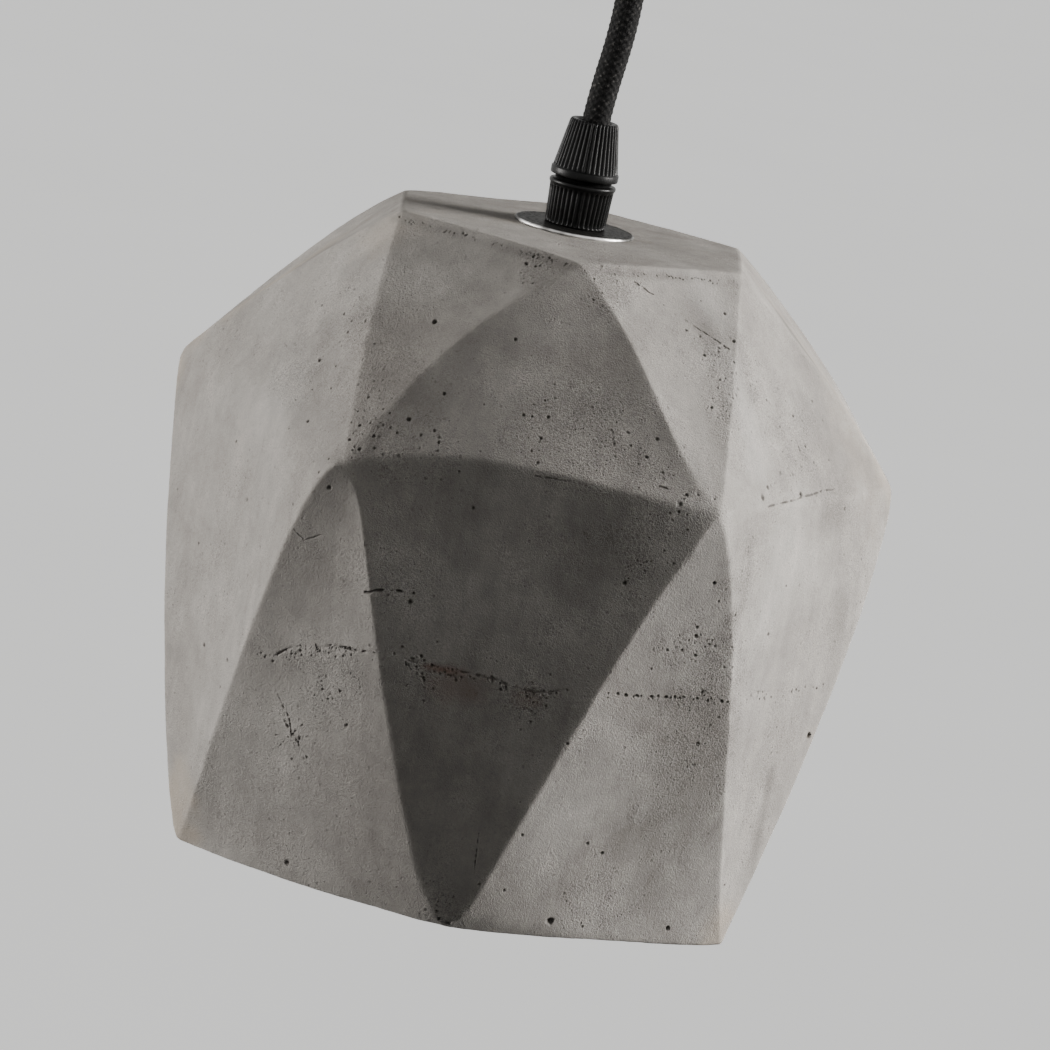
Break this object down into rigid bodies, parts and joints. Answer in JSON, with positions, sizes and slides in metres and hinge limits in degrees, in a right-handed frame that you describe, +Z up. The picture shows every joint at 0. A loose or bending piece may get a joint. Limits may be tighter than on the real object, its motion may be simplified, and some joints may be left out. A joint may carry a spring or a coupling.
{
  "type": "pendant ceiling light",
  "caption": "Pendant ceiling light: a faceted concrete shade on a black braided cord, with a cord grip, screw lampholder, bulb and ceiling canopy.",
  "frame": {"origin": "centre of the ceiling bracket's upper face, where it meets the ceiling", "axes": "+Z up into the ceiling, along the lamp's axis; +X along the bracket; the lamp hangs towards -Z"},
  "size_m": [0.18, 0.1626, 0.2995],
  "materials": {
    "black_paint": "satin black powder coat",
    "zinc_steel": "zinc-plated steel",
    "washer_steel": "brushed dark steel face with a bright bevelled rim",
    "grip_plastic": "black nylon, fine ribs with a slight sheen",
    "clear_nylon": "natural nylon",
    "block_plastic": "white moulded plastic",
    "brass": "plain brass",
    "ceramic": "unglazed white steatite",
    "bakelite": "black bakelite, half gloss",
    "textile": "black braided rayon over the cores",
    "wire_brown": "brown insulation",
    "wire_blue": "blue insulation",
    "wire_earth": "green and yellow insulation",
    "concrete": "raw cast light grey concrete with pits, a pour line and stains",
    "fibre": "pressed red-brown fibre",
    "clear_glass": "clear thin blown glass",
    "stem_glass": "clear pressed glass",
    "nickel": "nickel-plated brass",
    "black_glass": "black insulating glass",
    "filament_coat": "yellow phosphor coating",
    "solder": "dull solder"
  },
  "bodies": {
    "ceiling": {"ceiling_bracket": "zinc_steel", "canopy_cup": "black_paint", "canopy_side_screws": "zinc_steel", "canopy_nipple": "zinc_steel", "canopy_lock_nut": "zinc_steel", "canopy_grip_body": "grip_plastic", "canopy_grip_nut": "grip_plastic", "canopy_grip_collet": "clear_nylon", "terminal_block": "block_plastic", "terminal_barrels": "brass", "terminal_screws": "zinc_steel", "earth_screw": "zinc_steel", "earth_ring": "zinc_steel", "canopy_wire_live": "wire_brown", "canopy_wire_neutral": "wire_blue", "canopy_wire_earth": "wire_earth"},
    "cord_top": {"cord_top": "textile"},
    "pendant": {"cord": "textile", "lamp_grip_body": "grip_plastic", "lamp_grip_nut": "grip_plastic", "lamp_grip_collet": "clear_nylon", "top_washer": "washer_steel", "concrete_shade": "concrete", "lamp_nipple": "zinc_steel", "fibre_gasket": "fibre", "inner_washer": "zinc_steel", "lamp_lock_nut": "zinc_steel", "holder_cap": "bakelite", "holder_insert": "ceramic", "holder_terminal_screws": "brass", "holder_wire_live": "wire_brown", "holder_wire_neutral": "wire_blue", "holder_skirt": "bakelite", "holder_screw_shell": "brass", "centre_contact": "brass"},
    "bulb": {"bulb_tip": "solder", "bulb_insulator": "black_glass", "bulb_screw_shell": "nickel", "bulb_glass": "clear_glass", "bulb_stem": "stem_glass", "bulb_filaments": "filament_coat", "bulb_lead_wires": "nickel"}
  },
  "joints": [
    {"name": "cord_twist", "type": "hinge", "parent": "ceiling", "child": "cord_top", "pos_m": [0, 0, -0.054], "axis": [0, 0, 1], "range_deg": [-180, 180]},
    {"name": "lamp_swing", "type": "hinge", "parent": "cord_top", "child": "pendant", "pos_m": [0, 0, -0.054], "axis": [0, 1, 0], "range_deg": [-40, 40]},
    {"name": "bulb_turn", "type": "hinge", "parent": "pendant", "child": "bulb", "pos_m": [0, 0, -0.2], "axis": [0, 0, -1], "range_deg": [0, 360]}
  ]
}
